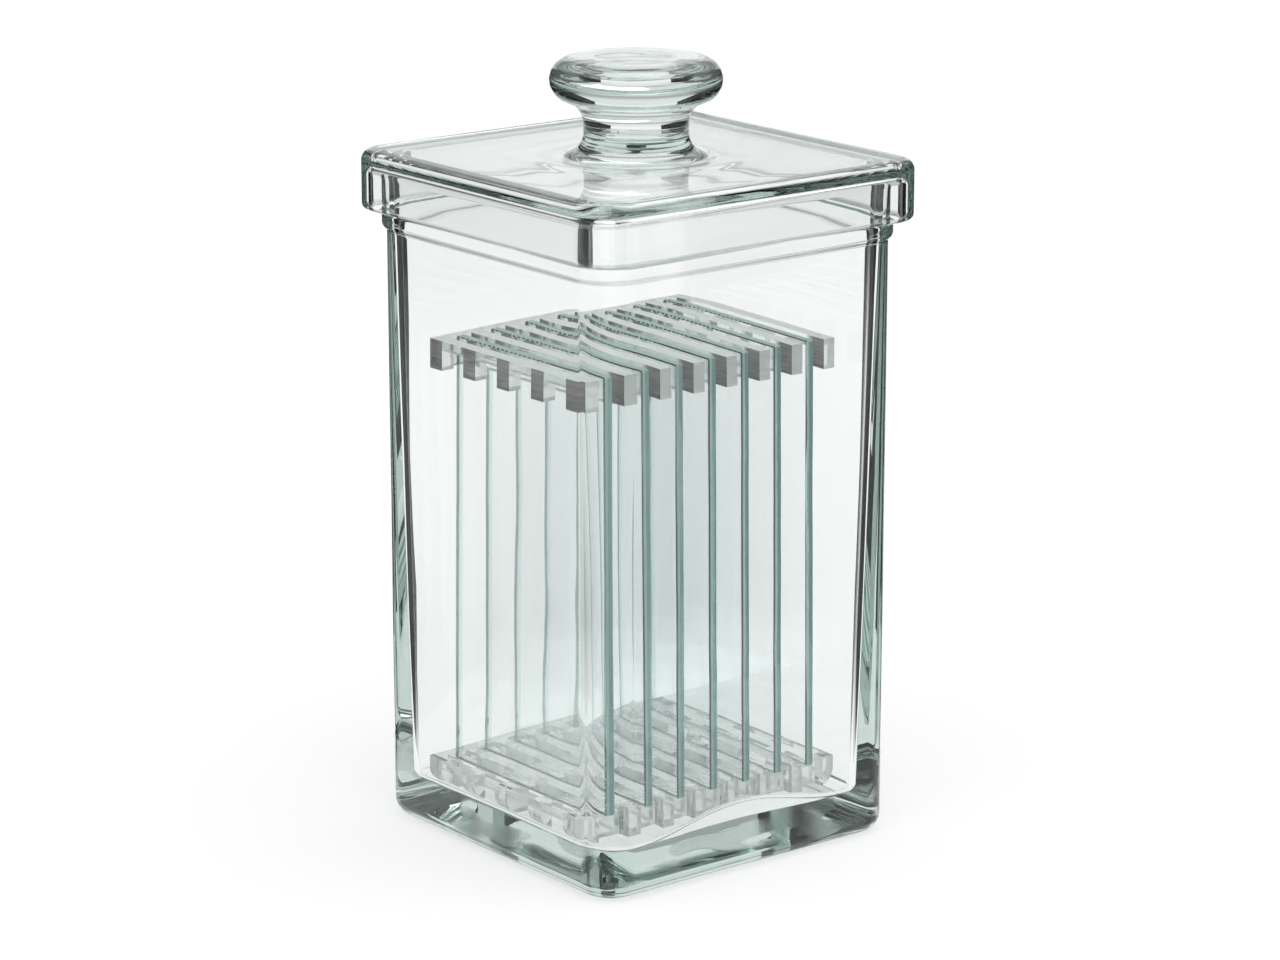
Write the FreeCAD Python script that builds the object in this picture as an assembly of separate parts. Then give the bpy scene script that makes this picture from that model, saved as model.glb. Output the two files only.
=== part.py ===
"""Square glass staining jar with a knobbed lid and a two-piece slide rack.

Seven glass slides stand upright in the jar between a lower and an upper guide. Their
back edges are bonded to the back rails of both guides, so the rack lifts out as one.

Units are millimetres. The origin is the centre of the jar's base, +Z points up.
The slides lie in planes of constant X, with their width along Y.
"""
import FreeCAD, Part
import math
import os

V = FreeCAD.Vector

# --- Slides -----------------------------------------------------------------------
slide_length = 76.0
slide_width = 39.0
slide_thickness = 1.7
slide_edge_chamfer = 0.2
slide_count = 7
slide_pitch = 7.15

# --- Slide guides -----------------------------------------------------------------
guide_length = 41.8
guide_height = 5.2
bar_width = 2.35
rail_thickness = 2.0
rib_height = 4.1
rib_width = 3.0
rib_pitch = 17.2
rib_count = 3
tooth_count = 5
tooth_width = 3.5
tooth_height = 3.6
lower_guide_corner_radius = 3.2
rack_offset_x = -0.15
rack_offset_y = 0.5

# --- Jar --------------------------------------------------------------------------
jar_width = 64.6
jar_corner_radius = 6.6
jar_foot_radius = 3.2
jar_foot_recess_depth = 0.8
jar_foot_recess_chamfer = 0.7
jar_foot_rim = 7.0
floor_thickness = 7.1
cavity_floor_width = 53.8
cavity_mouth_width = 59.8
cavity_corner_radius = 5.8
cavity_cove_radius = 3.6
collar_underside_height = 105.4
collar_height = 3.3
collar_projection = 0.85
collar_round = 1.5
collar_seat_chamfer = 0.5
neck_setback = 0.7
neck_height = 7.9
rim_chamfer = 0.4

# --- Lid --------------------------------------------------------------------------
lid_width = 71.0
lid_corner_radius = 7.2
lid_plate_thickness = 2.6
lid_edge_radius = 1.8
lid_skirt_chamfer = 1.0
lid_neck_gap = 0.6
lid_collar_gap = 0.3
lid_ceiling_chamfer = 0.6

# --- Knob -------------------------------------------------------------------------
knob_radius = 14.8
knob_height = 16.35
knob_roll_radius = 3.6
knob_under_radius = 4.15
knob_neck_radius = 9.0
knob_foot_radius = 3.65
knob_dish_radius = 8.5
knob_dish_floor_radius = 4.0
knob_dish_depth = 0.6

# --- Heights and widths that follow -------------------------------------------------
jar_half = jar_width / 2
lid_half = lid_width / 2
collar_half = jar_half + collar_projection
collar_top = collar_underside_height + collar_height
neck_half = jar_half - neck_setback
rim_top = collar_top + neck_height
lid_top = rim_top + lid_plate_thickness
skirt_bottom = collar_top + lid_collar_gap
skirt_inner_half = neck_half + lid_neck_gap
lower_guide_bottom = floor_thickness
slide_bottom = lower_guide_bottom + rib_height
slide_top = slide_bottom + slide_length
upper_guide_bottom = slide_top - guide_height
guide_half_width = (slide_count * slide_pitch + bar_width) / 2
tooth_pitch = (guide_length - tooth_width) / (tooth_count - 1)
rack_offset = V(rack_offset_x, rack_offset_y, 0)


def slide_x(index):
    """X position of a slide's middle plane in the rack, the first slide being 0."""
    return (index - (slide_count - 1) / 2) * slide_pitch


def rounded_square(half, radius, height):
    """Closed wire: a square of the given half width with rounded corners."""
    edges = []
    centre = half - radius
    for quarter in range(4):
        start = math.radians(90 * quarter)
        turn = FreeCAD.Rotation(V(0, 0, 1), 90 * quarter)
        middle = turn.multVec(V(centre, centre, 0)) + V(0, 0, height)
        points = []
        for angle in (0, 45, 90):
            a = start + math.radians(angle)
            points.append(middle + V(radius * math.cos(a), radius * math.sin(a), 0))
        edges.append(Part.Arc(*points).toShape())
        side_end = turn.multVec(V(-centre, half, 0)) + V(0, 0, height)
        edges.append(Part.LineSegment(points[2], side_end).toShape())
    return Part.Wire(edges)


def rounded_block(half, radius, bottom, top):
    """Upright block with a rounded square plan."""
    face = Part.Face(rounded_square(half, radius, bottom))
    return face.extrude(V(0, 0, top - bottom))


def level_edges(solid, height):
    """Edges of a solid that lie flat at one height."""
    found = []
    for edge in solid.Edges:
        box = edge.BoundBox
        if abs(box.ZMin - height) < 1e-4 and abs(box.ZMax - height) < 1e-4:
            found.append(edge)
    return found


def box_between(low, high):
    """Box from its two opposite corners."""
    size = [b - a for a, b in zip(low, high)]
    return Part.makeBox(*size, V(*low))


def make_cavity():
    """Space inside the jar: it widens upwards, with round corners and a cove at its floor."""
    foot, mouth = cavity_floor_width / 2, cavity_mouth_width / 2
    low, high = floor_thickness, rim_top
    cavity = Part.makeWedge(-foot, low, -foot, -mouth, -mouth, foot, high, foot, mouth, mouth)
    cavity.rotate(V(0, 0, 0), V(1, 0, 0), 90)
    corners = [edge for edge in cavity.Edges if edge.BoundBox.ZLength > cavity_cove_radius]
    cavity = cavity.makeFillet(cavity_corner_radius, corners)
    return cavity.makeFillet(cavity_cove_radius, level_edges(cavity, floor_thickness))


def make_jar():
    """Pressed-glass jar: thick foot, drafted cavity, collar and ground neck."""
    body = rounded_block(jar_half, jar_corner_radius, 0, collar_top)
    body = body.makeFillet(jar_foot_radius, level_edges(body, 0))

    collar_corner = jar_corner_radius + collar_projection
    collar = rounded_block(collar_half, collar_corner, collar_underside_height, collar_top)
    collar = collar.makeFillet(collar_round, level_edges(collar, collar_underside_height))
    collar = collar.makeChamfer(collar_seat_chamfer, level_edges(collar, collar_top))

    neck_corner = jar_corner_radius - neck_setback
    neck = rounded_block(neck_half, neck_corner, collar_underside_height, rim_top)

    recess_half = jar_half - jar_foot_rim
    recess = rounded_block(recess_half, jar_corner_radius, -1.0, jar_foot_recess_depth)
    recess = recess.makeChamfer(jar_foot_recess_chamfer, level_edges(recess, jar_foot_recess_depth))

    jar = body.fuse([collar, neck]).removeSplitter()
    jar = jar.cut(recess).cut(make_cavity())
    return jar.makeChamfer(rim_chamfer, level_edges(jar, rim_top))


def on_circle(centre, radius, angle):
    """Point of an upright circle in the XZ plane, its angle measured from +X."""
    return centre + V(math.cos(angle), 0, math.sin(angle)) * radius


def arc(centre, radius, start, end):
    """Arc of such a circle between two angles."""
    angles = (start, (start + end) / 2, end)
    return Part.Arc(*[on_circle(centre, radius, angle) for angle in angles])


def knob_profile():
    """Half section of the knob: foot, neck, an S-curve under the disc, and its dish."""
    top = lid_top + knob_height
    root = lid_top - lid_plate_thickness / 2
    quarter = math.pi / 2

    foot = V(knob_neck_radius + knob_foot_radius, 0, lid_top + knob_foot_radius)
    roll = V(knob_radius - knob_roll_radius, 0, top - knob_roll_radius)

    reach = knob_roll_radius + knob_under_radius
    under_x = knob_neck_radius + knob_under_radius
    lean = math.acos((under_x - roll.x) / reach)
    under = V(under_x, 0, roll.z - reach * math.sin(lean))

    foot_arc = arc(foot, knob_foot_radius, 3 * quarter, 2 * quarter)
    under_arc = arc(under, knob_under_radius, 2 * quarter, 2 * quarter - lean)
    roll_arc = arc(roll, knob_roll_radius, -lean, quarter)

    axis_bottom = V(0, 0, root)
    foot_bottom = V(foot.x, 0, root)
    dish_floor = V(knob_dish_floor_radius, 0, top - knob_dish_depth)
    dish_middle = V(0, 0, dish_floor.z)
    dish_rim = V(knob_dish_radius, 0, top)

    edges = [
        Part.LineSegment(axis_bottom, foot_bottom),
        Part.LineSegment(foot_bottom, foot_arc.StartPoint),
        foot_arc,
        Part.LineSegment(foot_arc.EndPoint, under_arc.StartPoint),
        under_arc,
        roll_arc,
        Part.LineSegment(roll_arc.EndPoint, dish_rim),
        Part.LineSegment(dish_rim, dish_floor),
        Part.LineSegment(dish_floor, dish_middle),
        Part.LineSegment(dish_middle, axis_bottom),
    ]
    return Part.Wire([edge.toShape() for edge in edges])


def make_lid():
    """Pressed-glass lid: plate, skirt round the jar's neck, and a knob on top."""
    block = rounded_block(lid_half, lid_corner_radius, skirt_bottom, lid_top)
    block = block.makeFillet(lid_edge_radius, level_edges(block, lid_top))
    block = block.makeChamfer(lid_skirt_chamfer, level_edges(block, skirt_bottom))

    hollow_corner = jar_corner_radius - neck_setback + lid_neck_gap
    hollow = rounded_block(skirt_inner_half, hollow_corner, skirt_bottom - 1.0, rim_top)
    hollow = hollow.makeChamfer(lid_ceiling_chamfer, level_edges(hollow, rim_top))

    knob = Part.Face(knob_profile()).revolve(V(0, 0, 0), V(0, 0, 1), 360)
    return block.cut(hollow).fuse(knob).removeSplitter()


def guide_blank(bottom):
    """Guide before its slots are cut."""
    low = (-guide_half_width, -guide_length / 2, bottom)
    high = (guide_half_width, guide_length / 2, bottom + guide_height)
    return box_between(low, high)


def slot_cutters(bottom):
    """One box per slide: a slot open at the front and stopped by the back rail."""
    half_slot = (slide_pitch - bar_width) / 2
    front = -guide_length / 2 - 1.0
    back = guide_length / 2 - rail_thickness
    cutters = []
    for index in range(slide_count):
        x = slide_x(index)
        low = (x - half_slot, front, bottom - 1.0)
        high = (x + half_slot, back, bottom + guide_height + 1.0)
        cutters.append(box_between(low, high))
    return cutters


def notch_cutters(bottom):
    """Flow notches through the two end bars, between their teeth."""
    inner = guide_half_width - bar_width
    outer = guide_half_width + 1.0
    cutters = []
    for index in range(tooth_count - 1):
        start = -guide_length / 2 + index * tooth_pitch + tooth_width
        end = start + tooth_pitch - tooth_width
        for low_x, high_x in ((-outer, -inner), (inner, outer)):
            low = (low_x, start, bottom - 1.0)
            high = (high_x, end, bottom + tooth_height)
            cutters.append(box_between(low, high))
    return cutters


def make_upper_guide():
    """Comb of upright bars joined by a rail along the back."""
    cutters = slot_cutters(upper_guide_bottom) + notch_cutters(upper_guide_bottom)
    return guide_blank(upper_guide_bottom).cut(cutters)


def make_lower_guide():
    """The same comb on the floor, rounded to clear the cove, its slots crossed by ribs."""
    bottom = lower_guide_bottom
    blank = guide_blank(bottom)
    side_edges = [edge for edge in level_edges(blank, bottom) if edge.BoundBox.XLength < 1e-4]
    blank = blank.makeFillet(lower_guide_corner_radius, side_edges)

    ribs = []
    for index in range(rib_count):
        y = (index - (rib_count - 1) / 2) * rib_pitch
        low = (-guide_half_width, y - rib_width / 2, bottom - 1.0)
        high = (guide_half_width, y + rib_width / 2, bottom + rib_height)
        ribs.append(box_between(low, high))
    slots = [slot.cut(ribs) for slot in slot_cutters(bottom)]
    return blank.cut(slots + notch_cutters(bottom))


def make_slide(index):
    """One upright slide with chamfered edges, its back edge against the back rails."""
    back = guide_length / 2 - rail_thickness
    x = slide_x(index)
    low = (x - slide_thickness / 2, back - slide_width, slide_bottom)
    high = (x + slide_thickness / 2, back, slide_top)
    slide = box_between(low, high)
    return slide.makeChamfer(slide_edge_chamfer, slide.Edges)


def build():
    """All nodes of the part, by name."""
    nodes = {
        "jar": make_jar(),
        "lid": make_lid(),
    }
    rack = {
        "upper_slide_guide": make_upper_guide(),
        "lower_slide_guide": make_lower_guide(),
    }
    for index in range(slide_count):
        rack[f"slide_{index + 1}"] = make_slide(index)
    for name, shape in rack.items():
        nodes[name] = shape.translated(rack_offset)
    return nodes


os.makedirs("parts", exist_ok=True)
for name, shape in build().items():
    solid = shape.Solids[0] if len(shape.Solids) == 1 else shape
    solid.exportStep(f"parts/{name}.step")
    box = solid.BoundBox
    print(f"{name}: {len(shape.Solids)} solid, {solid.Volume:.1f} mm3, valid {solid.isValid()}, "
          f"z {box.ZMin:.2f} to {box.ZMax:.2f}")
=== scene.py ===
import bpy
import math
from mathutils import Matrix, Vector


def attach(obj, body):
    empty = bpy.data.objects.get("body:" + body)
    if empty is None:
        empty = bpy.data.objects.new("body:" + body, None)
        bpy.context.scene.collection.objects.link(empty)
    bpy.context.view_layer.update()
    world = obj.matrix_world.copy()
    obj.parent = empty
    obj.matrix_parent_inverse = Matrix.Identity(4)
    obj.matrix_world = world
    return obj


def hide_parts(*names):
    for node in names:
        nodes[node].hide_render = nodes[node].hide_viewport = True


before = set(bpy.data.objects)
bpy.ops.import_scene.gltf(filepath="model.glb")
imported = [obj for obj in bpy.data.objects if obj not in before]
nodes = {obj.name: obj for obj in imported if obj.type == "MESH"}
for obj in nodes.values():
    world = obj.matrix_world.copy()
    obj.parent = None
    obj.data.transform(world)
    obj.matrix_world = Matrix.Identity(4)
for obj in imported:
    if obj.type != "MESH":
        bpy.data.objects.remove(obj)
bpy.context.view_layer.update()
scene = bpy.context.scene
mm = 0.001

# --- Jar ---------------------------------------------------------------------------
# A square jar of faintly green soda glass, pressed in one piece: a thick foot with a
# shallow stippled recess under it, drafted walls that are rounded at every corner, a
# bead that the lid comes down to, and a plain rim. Its faces were fire polished, so
# they are clear but never quite flat.
jar_half = 32.3
jar_corner = 6.6
foot_radius = 3.2
recess_half = 25.3
recess_depth = 0.8
recess_slope = 0.7
recess_lip = 0.3
floor_height = 6.95
cavity_foot_half = 26.9
cavity_mouth_half = 29.9
cavity_foot_corner = 3.7
cavity_mouth_corner = 5.6
cove_reach = 1.6
cove_height = 1.2
cove_step = 0.6
ramp_reach = 1.7
swell_rise = 0.75
swell_reach = 0.55
cove_swells = (0.2, 2.9, 0.2, 4.4)
bead_half = 33.15
bead_bottom = 105.4
bead_top = 108.7
bead_roll = 1.5
bead_top_roll = 0.6
bead_fillet = 0.25
bead_flare = 0.12
bead_flare_low = 0.35
bead_flare_high = 0.05
neck_half = 31.6
rim_height = 116.58
rim_roll = 0.5
rim_outer_roll = 1.3
smallest_corner = 0.8
sharpest_cove_corner = 0.05
side_steps = 24
corner_steps = 12
arc_steps = 8
wall_steps = 24
outer_wall_steps = 20


def ring(half, corner, height, inward=0.0, drop=0.0):
    """Points round a rounded square; the cove swells inward and up at its sides' middles."""
    points = []
    flat = half - corner
    for quarter in range(4):
        places = [(-1 + 2 * step / side_steps, 0.0) for step in range(side_steps)]
        places += [(1.0, math.pi / 2 * step / corner_steps) for step in range(corner_steps)]
        turn = math.pi / 2 * quarter
        for along, angle in places:
            swell = math.cos(math.pi / 2 * along) ** 2 if angle == 0 else 0.0
            swell *= cove_swells[quarter]
            out = flat + corner * math.cos(angle) - swell * inward
            side = flat * along + corner * math.sin(angle)
            x = out * math.cos(turn) - side * math.sin(turn)
            y = out * math.sin(turn) + side * math.cos(turn)
            points.append((x * mm, y * mm, (height + swell * drop) * mm))
    return points


def arc_pairs(x, z, radius, start, end):
    """Points of an arc in a half section, from one angle in degrees to another."""
    pairs = []
    for step in range(arc_steps + 1):
        angle = math.radians(start + (end - start) * step / arc_steps)
        pairs.append((x + radius * math.cos(angle), z + radius * math.sin(angle)))
    return pairs


def level_pairs(x, low, high, steps):
    """Points up a straight wall, its two ends left out."""
    return [(x, low + (high - low) * step / steps) for step in range(1, steps)]


def loft(name, rings, material):
    """Closed skin over a stack of rings, with a flat cap at each end."""
    count = len(rings[0])
    faces = [tuple(reversed(range(count)))]
    for level in range(len(rings) - 1):
        base = level * count
        for index in range(count):
            after = (index + 1) % count
            faces.append((base + index, base + after, base + count + after, base + count + index))
    top = (len(rings) - 1) * count
    faces.append(tuple(range(top, top + count)))
    mesh = bpy.data.meshes.new(name)
    mesh.from_pydata([point for points in rings for point in points], [], faces)
    mesh.shade_smooth()
    mesh.set_sharp_from_angle(angle=math.radians(32))
    mesh.materials.append(material)
    piece = bpy.data.objects.new(name, mesh)
    scene.collection.objects.link(piece)
    even = piece.modifiers.new("even_shading", "WEIGHTED_NORMAL")
    even.weight = 100
    even.keep_sharp = True
    return piece


class Socket:
    """A value in a shader, so that Python's operators add Math nodes."""

    def __init__(self, shader, socket):
        self.shader = shader
        self.socket = socket

    def __add__(self, other):
        return self.shader.math("ADD", self, other)

    def __radd__(self, other):
        return self.shader.math("ADD", other, self)

    def __sub__(self, other):
        return self.shader.math("SUBTRACT", self, other)

    def __rsub__(self, other):
        return self.shader.math("SUBTRACT", other, self)

    def __mul__(self, other):
        return self.shader.math("MULTIPLY", self, other)

    def __rmul__(self, other):
        return self.shader.math("MULTIPLY", other, self)

    def __or__(self, other):
        return self.shader.math("MAXIMUM", self, other)

    def __abs__(self):
        return self.shader.math("ABSOLUTE", self)


class Outputs:
    """The outputs of one node, by number or name."""

    def __init__(self, shader, node):
        self.shader = shader
        self.node = node

    def __getitem__(self, key):
        return Socket(self.shader, self.node.outputs[key])


class Shader:
    """The node tree of one material or world."""

    def __init__(self, owner):
        owner.use_nodes = True
        self.tree = owner.node_tree
        self.tree.nodes.clear()

    def node(self, kind, settings, values):
        """Add a node: its settings first, then the values or links of its sockets."""
        node = self.tree.nodes.new(kind)
        for name, setting in settings.items():
            setattr(node, name, setting)
        for key, value in values.items():
            socket = node.inputs[key]
            if isinstance(value, Socket):
                self.tree.links.new(value.socket, socket)
            else:
                socket.default_value = value
        return Outputs(self, node)

    def math(self, operation, first, second=0.0):
        """Add a Math node."""
        return self.node("ShaderNodeMath", {"operation": operation}, {0: first, 1: second})[0]

    def band(self, value, low, high):
        """Smooth step of a value from 0 at low to 1 at high."""
        values = {"Value": value, "From Min": low, "From Max": high}
        return self.node("ShaderNodeMapRange", {"interpolation_type": "SMOOTHSTEP"}, values)[0]

    def noise(self, place, scale, detail):
        """Noise from 0 to 1 that doesn't depend on a mesh's UVs."""
        values = {"Vector": place, "Scale": scale, "Detail": detail}
        return self.node("ShaderNodeTexNoise", {}, values)["Fac"]


def shade(shader, factor, low, high):
    """Colour between two others, each of them three numbers or a socket."""
    ends = [end if isinstance(end, Socket) else (*end, 1) for end in (low, high)]
    values = {"Factor": factor, 6: ends[0], 7: ends[1]}
    return shader.node("ShaderNodeMix", {"data_type": "RGBA"}, values)[2]


relief_depth = 0.00006
sway_scale = 45.0
shadow_tint = (0.8, 0.83, 0.82, 1)


def glass(name, tint, density, waviness, finish):
    """Clear glass with coloured depth; finish says how it is worked where it isn't clear."""
    material = bpy.data.materials.new(name)
    shader = Shader(material)
    coordinates = shader.node("ShaderNodeTexCoord", {}, {})
    place = coordinates["Object"]
    roughness, relief, colour, ground, ground_colour = finish(shader, place)
    sway = shader.noise(place, sway_scale, 1.0)
    wave = shader.node("ShaderNodeBump", {}, {"Height": sway, "Distance": waviness})["Normal"]
    bump_values = {"Height": relief, "Distance": relief_depth, "Normal": wave}
    normal = shader.node("ShaderNodeBump", {}, bump_values)["Normal"]
    surface_values = {
        "Base Color": colour,
        "Roughness": roughness,
        "IOR": 1.5,
        "Transmission Weight": 1.0,
        "Normal": normal,
    }
    polished = shader.node("ShaderNodeBsdfPrincipled", {}, surface_values)["BSDF"]
    matt = shader.node("ShaderNodeBsdfDiffuse", {}, {"Color": ground_colour, "Normal": normal})[0]
    surface = shader.node("ShaderNodeMixShader", {}, {0: ground, 1: polished, 2: matt})[0]
    clear = shader.node("ShaderNodeBsdfTransparent", {}, {"Color": shadow_tint})[0]
    is_shadow = shader.node("ShaderNodeLightPath", {}, {})["Is Shadow Ray"]
    skin = shader.node("ShaderNodeMixShader", {}, {0: is_shadow, 1: surface, 2: clear})[0]
    depth_values = {"Color": (*tint, 1), "Density": density}
    depth = shader.node("ShaderNodeVolumeAbsorption", {}, depth_values)[0]
    shader.node("ShaderNodeOutputMaterial", {}, {"Surface": skin, "Volume": depth})
    return material


stipple_levels = (0.0009, 0.0014)


def pressed_finish(shader, place):
    """Fire-polished skin, with fine stipple under the foot only."""
    height = shader.node("ShaderNodeSeparateXYZ", {}, {"Vector": place})["Z"]
    under = 1 - shader.band(height, *stipple_levels)
    haze = shader.noise(place, 90.0, 3.0)
    stipple = shader.noise(place, 2600.0, 2.0)
    patches = shader.band(shader.noise(place, 60.0, 1.0), 0.5, 0.6)
    roughness = under * patches * 0.1 + haze * 0.012
    colour = shade(shader, haze, (1, 1, 1), (0.975, 0.985, 0.98))
    return roughness, under * patches * stipple, colour, 0.0, (0.8, 0.8, 0.8, 1)


jar_glass = glass("jar_glass", (0.44, 0.61, 0.56), 13, 0.00012, pressed_finish)

section = [(recess_half - recess_slope, recess_depth), (recess_half, recess_lip / 3)]
section += [(recess_half + recess_lip, 0)]
section += arc_pairs(jar_half - foot_radius, foot_radius, foot_radius, -90, 0)
section += level_pairs(jar_half, foot_radius, bead_bottom, outer_wall_steps)
section += [(jar_half, bead_bottom - bead_flare_low)]
section += [(jar_half + bead_flare, bead_bottom + bead_flare_high)]
section += arc_pairs(bead_half - bead_roll, bead_bottom + bead_roll, bead_roll, -50, 0)
section += arc_pairs(bead_half - bead_top_roll, bead_top - bead_top_roll, bead_top_roll, 0, 90)
section += [(neck_half + bead_fillet, bead_top), (neck_half, bead_top + bead_fillet)]
section += arc_pairs(neck_half - rim_outer_roll, rim_height - rim_outer_roll, rim_outer_roll, 0, 90)
jar_rings = []
for x, z in section:
    jar_rings.append(ring(x, max(jar_corner - jar_half + x, smallest_corner), z))

for x, z in arc_pairs(cavity_mouth_half + rim_roll, rim_height - rim_roll, rim_roll, 90, 180):
    jar_rings.append(ring(x, cavity_mouth_corner + x - cavity_mouth_half, z))


def cavity_at(height):
    """Half width and corner radius of the cavity, which both grow towards its mouth."""
    share = (height - floor_height) / (rim_height - floor_height)
    half = cavity_foot_half + (cavity_mouth_half - cavity_foot_half) * share
    return half, cavity_foot_corner + (cavity_mouth_corner - cavity_foot_corner) * share ** 2


wall_top = rim_height - rim_roll
wall_foot = floor_height + cove_step + cove_height
for step in range(1, wall_steps):
    share = step / wall_steps
    z = wall_top + (wall_foot - wall_top) * share
    jar_rings.append(ring(*cavity_at(z), z, 0.0, swell_rise * share ** 4))
cove_half, cove_corner = cavity_at(wall_foot)
for step in range(arc_steps * 2):
    angle = math.pi / 2 * step / (arc_steps * 2)
    inward = cove_reach * (1 - math.cos(angle))
    z = floor_height + cove_step + cove_height * (1 - math.sin(angle))
    corner = max(cove_corner - inward, sharpest_cove_corner)
    jar_rings.append(ring(cove_half - inward, corner, z, 0.0, swell_rise))
for step in range(arc_steps + 1):
    share = step / arc_steps
    left = 1 - share * share * (3 - 2 * share)
    inward = cove_reach + ramp_reach * share
    corner = max(cove_corner - inward, sharpest_cove_corner)
    z = floor_height + cove_step * left
    jar_rings.append(ring(cove_half - inward, corner, z, swell_reach * share, swell_rise * left))
jar = loft("pressed_jar", jar_rings, jar_glass)
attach(jar, "jar")
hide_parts("jar")

# --- Rack of slides --------------------------------------------------------------------
# Seven slides of greenish sheet glass with cut edges stand in two comb guides, which
# were sawn from clear plate: the saw left the bars' sides ground and lined and their ends
# pale; the sides' grey, seen from outside, is painted shade. The slides' back edges are
# bonded to the back rails of both guides.
tooth_middle = 0.0005
tooth_pitch = 0.009575
tooth_edge = (0.0016, 0.0019)
sawn_length = (0.0155, 0.0175)
outer_bar_inside = (0.0245, 0.0255)
between_guides = (0.03, 0.04)
upper_guide_levels = (0.0825, 0.0865)
slide_face = -0.02245
slide_pitch = 0.00715
bond_line = (0.0181, 0.0186)


def sawn_finish_and_painted_shade(shader, place):
    """Rubbed smooth on top; sawn sides are ground, with painted grey shade seen from outside."""
    geometry = shader.node("ShaderNodeNewGeometry", {}, {})
    facing = shader.node("ShaderNodeSeparateXYZ", {}, {"Vector": geometry["True Normal"]})
    spot = shader.node("ShaderNodeSeparateXYZ", {}, {"Vector": place})
    side_face = shader.band(abs(facing["X"]), 0.6, 0.8)
    end_face = shader.band(abs(facing["Y"]), 0.6, 0.8)
    level_face = (1 - side_face) * (1 - end_face)
    # Seen from outside, the sawn sides' matt colour is painted grey shade; from inside it stays
    # white.
    inside = geometry["Backfacing"]
    outside = 1 - inside
    near_ends = shader.band(abs(spot["Y"]), *sawn_length)
    outer_bar = shader.band(abs(spot["X"]), *outer_bar_inside)
    from_tooth = shader.math("PINGPONG", spot["Y"] - tooth_middle, tooth_pitch / 2)
    teeth = outer_bar * (1 - shader.band(from_tooth, *tooth_edge))
    upper = shader.band(spot["Z"], *between_guides)
    saw_reach = near_ends * (1 - outer_bar) | teeth
    sawn = side_face * outside * saw_reach * (upper * 0.75 + 0.1)
    sawn_behind = side_face * inside * near_ends * 0.45
    stretched = shader.node("ShaderNodeMapping", {}, {"Vector": place, "Scale": (60, 60, 2600)})[0]
    lines = shader.noise(stretched, 1.0, 3.0)
    along = shader.node("ShaderNodeMapping", {}, {"Vector": place, "Scale": (500, 90, 90)})[0]
    streaks = shader.band(shader.noise(along, 1.0, 2.0), 0.45, 0.75)
    grain = shader.noise(place, 900.0, 3.0)
    roughness = end_face * grain * 0.06 + 0.008
    rubbed_top = level_face * upper * (streaks * 0.1 + 0.75)
    ground = sawn + end_face * outside * 0.4 + rubbed_top + sawn_behind
    # Painted shade: the grey darkens towards the bottom of the upper guide and over all of the
    # lower guide.
    painted_shade_low_down = 1 - shader.band(spot["Z"], *upper_guide_levels)
    sawn_lines_in_painted_shade = shade(shader, lines - painted_shade_low_down * 0.35, (0.0, 0.0, 0.0), (0.34, 0.32, 0.29))
    matt_white_and_painted_shade = shade(shader, side_face * outside, (0.97, 0.99, 0.98), sawn_lines_in_painted_shade)
    tint = shade(shader, side_face, (0.98, 0.99, 0.99), (0.93, 0.95, 0.94))
    relief = (side_face * lines + end_face * grain) * outside
    return roughness, relief, tint, ground, matt_white_and_painted_shade


def cut_finish_and_painted_highlights(shader, place):
    """Clear faces, with the four cut edges ground to a soft green; a painted highlight line
    runs along the edges, and the top edge gets painted light.
    """
    normal = shader.node("ShaderNodeNewGeometry", {}, {})["True Normal"]
    facing = shader.node("ShaderNodeSeparateXYZ", {}, {"Vector": normal})
    spot = shader.node("ShaderNodeSeparateXYZ", {}, {"Vector": place})
    edge = 1 - shader.band(abs(facing["X"]), 0.3, 0.6)
    # Painted light: the top edges are paler, as if lit from above.
    painted_light_top_edge = shader.band(facing["Z"], 0.6, 0.9)
    back_edge = shader.band(facing["Y"], 0.6, 0.9)
    back_strip = shader.band(spot["Y"], *bond_line)
    # Painted highlight: a pale line along each slide's edges, a fixed step in from its face.
    across = shader.math("FLOORED_MODULO", spot["X"] - slide_face, slide_pitch)
    painted_highlight_line = shader.band(across, 0.0002, 0.0003) * (1 - shader.band(across, 0.0006, 0.0008))
    grain = shader.noise(place, 1400.0, 2.0)
    roughness = edge * (grain * 0.02 + 0.01)
    clear = shade(shader, edge, (0.99, 1.0, 1.0), (0.86, 0.93, 0.92))
    tint = shade(shader, back_strip, clear, (0.62, 0.79, 0.76))
    deep = shade(shader, grain, (0.18, 0.41, 0.39), (0.3, 0.56, 0.53))
    painted_highlights = painted_highlight_line * 0.6 | painted_light_top_edge * 0.7
    edge_green_and_painted_light = shade(shader, painted_highlights, deep, (0.74, 0.92, 0.89))
    return roughness, edge * grain * 0.25, tint, edge * (back_edge * 0.35 + 0.6), edge_green_and_painted_light


guide_glass = glass("guide_glass", (0.5, 0.62, 0.6), 4, 0.0, sawn_finish_and_painted_shade)
slide_glass = glass("slide_glass", (0.42, 0.62, 0.59), 22, 0.00002, cut_finish_and_painted_highlights)
for name, node in nodes.items():
    if name not in ("jar", "lid"):
        for slot in node.material_slots:
            slot.material = guide_glass if name.endswith("guide") else slide_glass

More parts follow.
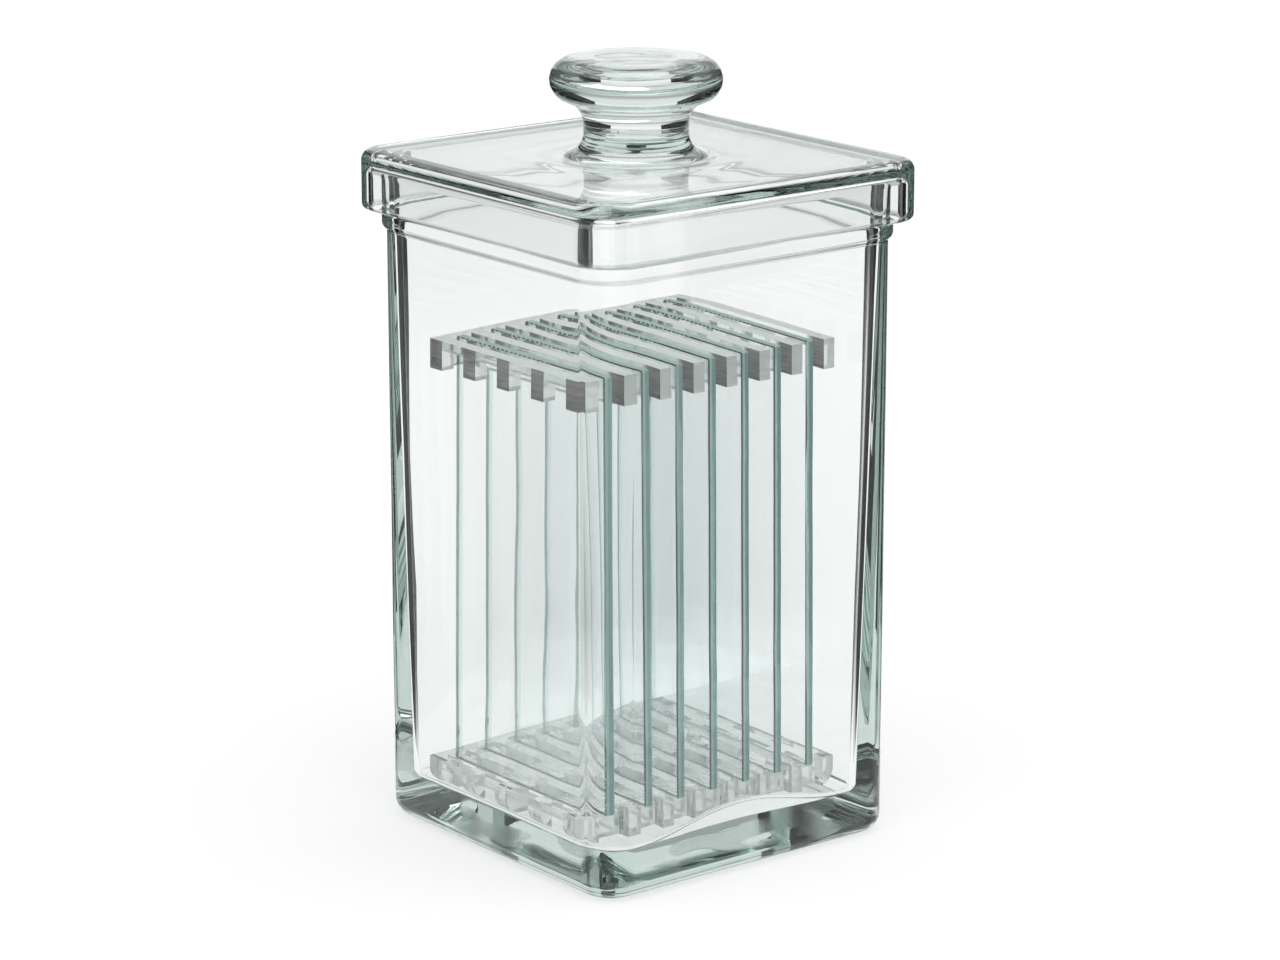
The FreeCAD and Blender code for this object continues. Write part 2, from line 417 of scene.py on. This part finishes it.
# --- Lid ---------------------------------------------------------------------------------
# A square pressed lid of the same glass: a thick plate whose skirt drops over the jar's
# neck, and a turned-looking knob with a shallow dish in its top. Where the knob's foot
# meets the plate, the glass chilled in faint rings.
lid_half = 35.5
lid_corner = 7.2
plate_top = 119.2
plate_roll = 1.8
ceiling_height = 116.6
ceiling_roll = 1.8
ceiling_lip = 5
skirt_bottom = 109.0
skirt_roll = 1.0
skirt_inner = 32.2
skirt_inner_corner = 3.0
skirt_smallest_corner = 0.6
skirt_lip = 0.4
skirt_lip_middle = 0.12
skirt_straight = 3
knob_top = 135.55
neck_radius = 9.0
foot_sweep = 3.65
under_sweep = 4.15
roll_sweep = 3.6
knob_radius = 14.8
dish_radius = 8.5
dish_depth = 0.6
plate_steps = 28
ripple_height = 0.06
ripple_turns = 22
dish_steps = 8
dish_middle = 0.8
dish_slope = 1.6

section = [(skirt_inner - ceiling_lip, ceiling_height)]
corner_place = (skirt_inner - ceiling_roll, ceiling_height - ceiling_roll)
section += reversed(arc_pairs(*corner_place, ceiling_roll, 0, 90))
section += [(skirt_inner, skirt_bottom + skirt_straight), (skirt_inner, skirt_bottom + skirt_lip)]
section += [(skirt_inner + skirt_lip_middle, skirt_bottom + skirt_lip_middle)]
section += [(skirt_inner + skirt_lip, skirt_bottom)]
lid_rings = []
for x, z in section:
    corner = max(skirt_inner_corner + x - skirt_inner, skirt_smallest_corner)
    lid_rings.append(ring(x, corner, z))
section = arc_pairs(lid_half - skirt_roll, skirt_bottom + skirt_roll, skirt_roll, -90, 0)
section += arc_pairs(lid_half - plate_roll, plate_top - plate_roll, plate_roll, 0, 90)
lid_rings += [ring(x, lid_corner + x - lid_half, z) for x, z in section]


def round_ring(radius, height):
    """The same count of points as a square ring, set round a circle."""
    points = []
    for x, y, z in lid_rings[-1]:
        reach = math.hypot(x, y)
        points.append((x / reach * radius * mm, y / reach * radius * mm, height * mm))
    return points


foot_start = neck_radius + foot_sweep
square_edge = list(lid_rings[-1])
circle_edge = round_ring(foot_start, plate_top)
for step in range(1, plate_steps):
    share = step / plate_steps
    ripple = ripple_height * math.sin(share * ripple_turns) * share ** 6
    points = []
    for (x0, y0, z0), (x1, y1, z1) in zip(square_edge, circle_edge):
        points.append((x0 + (x1 - x0) * share, y0 + (y1 - y0) * share, (plate_top + ripple) * mm))
    lid_rings.append(points)

roll_x = knob_radius - roll_sweep
roll_z = knob_top - roll_sweep
lean = math.degrees(math.acos((neck_radius + under_sweep - roll_x) / (roll_sweep + under_sweep)))
under_z = roll_z - (roll_sweep + under_sweep) * math.sin(math.radians(lean))
section = arc_pairs(foot_start, plate_top + foot_sweep, foot_sweep, 270, 180)
section += arc_pairs(neck_radius + under_sweep, under_z, under_sweep, 180, 180 - lean)
section += arc_pairs(roll_x, roll_z, roll_sweep, -lean, 90)[1:]
for step in range(1, dish_steps + 1):
    share = step / dish_steps
    x = dish_radius * (1 - share) + dish_middle * share
    dip = dish_depth * (0.5 - 0.5 * math.cos(math.pi * min(share * dish_slope, 1)))
    section.append((x, knob_top - dip))
lid_rings += [round_ring(x, z) for x, z in section]
lid_glass = glass("lid_glass", (0.46, 0.61, 0.57), 18, 0.00007, pressed_finish)
lid = loft("pressed_lid", lid_rings, lid_glass)
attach(lid, "lid")
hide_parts("lid")

# --- Table, walls and lamp ---------------------------------------------------------------
# A pale table that runs out of sight under an even bright wall. Two dark cards beside
# the view draw the edges of the glass, and one large soft lamp hangs overhead.
view_azimuth = math.radians(-38.29)
wall_level = 0.95
wall_spread = (0.70, 0.85)
wall_fade = (0.12, 0.3)
front_spread = (-0.45, -0.2)
ceiling_spread = (0.3, 0.5)
card_level = 0.1
front_level = 0.9
ceiling_level = 0.95

world = bpy.data.worlds.new("studio")
scene.world = world
shader = Shader(world)
direction = shader.node("ShaderNodeTexCoord", {}, {})["Generated"]
facing_away = (-math.sin(view_azimuth), math.cos(view_azimuth), 0)
along_settings = {"operation": "DOT_PRODUCT"}
depth = shader.node("ShaderNodeVectorMath", along_settings, {0: direction, 1: facing_away})["Value"]
up = shader.node("ShaderNodeSeparateXYZ", {}, {"Vector": direction})["Z"]
back_wall = shader.band(depth, *wall_spread)
front_wall = 1 - shader.band(depth, *front_spread)
ceiling = shader.band(up, *ceiling_spread)
back_wall = back_wall * (1 - shader.band(up, *wall_fade) * 0.5)
walls = (back_wall * wall_level) | (front_wall * front_level)
level = walls | (ceiling * ceiling_level) | card_level
path = shader.node("ShaderNodeLightPath", {}, {})
in_glass = path["Is Transmission Ray"] | path["Is Glossy Ray"]
strength = in_glass * level + (1 - in_glass)
background_values = {"Color": (1, 1, 1, 1), "Strength": strength}
background = shader.node("ShaderNodeBackground", {}, background_values)[0]
shader.node("ShaderNodeOutputWorld", {}, {"Surface": background})

table_reach = 4
table_drop = 0.0002
seen_directly = 0.5
seen_in_glass = 0.75
floor_mesh = bpy.data.meshes.new("table")
floor_corners = []
for x, y in ((-1, -1), (1, -1), (1, 1), (-1, 1)):
    floor_corners.append((x * table_reach, y * table_reach, -table_drop))
floor_mesh.from_pydata(floor_corners, [], [(0, 1, 2, 3)])
table = bpy.data.objects.new("table", floor_mesh)
scene.collection.objects.link(table)
table_white = bpy.data.materials.new("table_white")
shader = Shader(table_white)
path = shader.node("ShaderNodeLightPath", {}, {})
in_glass = path["Is Transmission Ray"] | path["Is Glossy Ray"]
seen = path["Is Camera Ray"] * seen_directly + in_glass * seen_in_glass
plain_values = {"Color": (0.9, 0.9, 0.9, 1), "Roughness": 1.0}
plain = shader.node("ShaderNodeBsdfDiffuse", {}, plain_values)[0]
glow = shader.node("ShaderNodeEmission", {}, {"Color": (1, 1, 1, 1), "Strength": 1.1})[0]
mixed = shader.node("ShaderNodeMixShader", {}, {0: seen, 1: plain, 2: glow})[0]
shader.node("ShaderNodeOutputMaterial", {}, {"Surface": mixed})
floor_mesh.materials.append(table_white)

lamp_place = (0.37, -0.1, 1.3)
lamp_target = Vector((0, 0, 0.05))
lamp_data = bpy.data.lights.new("soft_lamp", "AREA")
lamp_data.size = 1.0
lamp_data.energy = 4
lamp = bpy.data.objects.new("soft_lamp", lamp_data)
lamp.location = lamp_place
lamp.rotation_euler = (lamp_target - lamp.location).to_track_quat("-Z", "Y").to_euler()
scene.collection.objects.link(lamp)
scene.cycles.max_bounces = 40
scene.cycles.transmission_bounces = 40
scene.cycles.glossy_bounces = 20
scene.cycles.transparent_max_bounces = 40
scene.view_settings.view_transform = "Standard"

# --- Camera ------------------------------------------------------------------------------
# A long lens a little above the jar looks at one of its corners, so that two sides of
# the glass, the rack inside and the top of the lid are seen.
view_elevation = math.radians(14.82)
looked_at = Vector((0, 0, 0.06193))
camera_shift = 0.00066
camera_distance = 0.7358
camera_data = bpy.data.cameras.new("camera")
camera_data.sensor_width = 36
camera_data.lens = 119.66
camera = bpy.data.objects.new("camera", camera_data)
scene.collection.objects.link(camera)
scene.camera = camera
level_reach = math.cos(view_elevation)
towards_camera = Vector((
    math.sin(view_azimuth) * level_reach,
    -math.cos(view_azimuth) * level_reach,
    math.sin(view_elevation),
))
screen_right = Vector((math.cos(view_azimuth), math.sin(view_azimuth), 0))
camera.rotation_euler = (-towards_camera).to_track_quat("-Z", "Y").to_euler()
camera.location = looked_at + screen_right * camera_shift + towards_camera * camera_distance

# --- Dark cards beside the view ----------------------------------------------------------
# As on a turntable stand, two dark cards go round with the camera, just outside its
# view, each with a foot that lies on the table. Only the glass shows them: they draw
# its edges and leave its faces clear.
card_offset = 0.125
card_near = 0.40
card_far = 1.08
card_half_height = 0.17
card_pale_from = (-0.785, -0.765)
card_pale_level = 0.75
card_dim_height = (0.0, 0.03)
card_dimming = 0.6
card_dark = bpy.data.materials.new("card_dark")
shader = Shader(card_dark)
card_place = shader.node("ShaderNodeTexCoord", {}, {})["Object"]
card_spot = shader.node("ShaderNodeSeparateXYZ", {}, {"Vector": card_place})
away = card_spot["Z"]
card_height = card_spot["Y"]
paler_near = shader.band(away, *card_pale_from)
dimmed = shader.band(card_height, *card_dim_height) * card_dimming
lighter = paler_near * (card_pale_level - dimmed)
card_glow = shader.node("ShaderNodeEmission", {}, {"Color": (1, 1, 1, 1), "Strength": 1.0})[0]
card_black = shader.node("ShaderNodeBsdfDiffuse", {}, {"Color": (0.0, 0.0, 0.0, 1)})[0]
card_skin = shader.node("ShaderNodeMixShader", {}, {0: lighter, 1: card_black, 2: card_glow})[0]
shader.node("ShaderNodeOutputMaterial", {}, {"Surface": card_skin})
foot_slant = 0.08
foot_near = 0.762
foot_far = 0.87
foot_corner = 0.08
foot_clearance = 0.001


def table_place(x, distance):
    """Camera-space point just above the table, at a distance along the view."""
    drop = camera.location.z - foot_clearance - distance * math.sin(view_elevation)
    return (x, -drop / math.cos(view_elevation), -distance)


for side in (-1, 1):
    x = side * card_offset
    corners = [
        (x, -card_half_height, -card_near),
        (x, card_half_height, -card_near),
        (x, card_half_height, -card_far),
        (x, -card_half_height, -card_far),
        table_place(x, foot_near),
        table_place(side * foot_slant * foot_near, foot_near),
        table_place(side * foot_slant * foot_far, foot_far),
        table_place(x, foot_far + foot_corner),
    ]
    card_mesh = bpy.data.meshes.new("dark_card")
    card_mesh.from_pydata(corners, [], [(0, 1, 2, 3), (4, 5, 6, 7)])
    card_mesh.materials.append(card_dark)
    card = bpy.data.objects.new("dark_card", card_mesh)
    scene.collection.objects.link(card)
    card.parent = camera
    card.visible_camera = False
    card.visible_diffuse = False
    card.visible_shadow = False
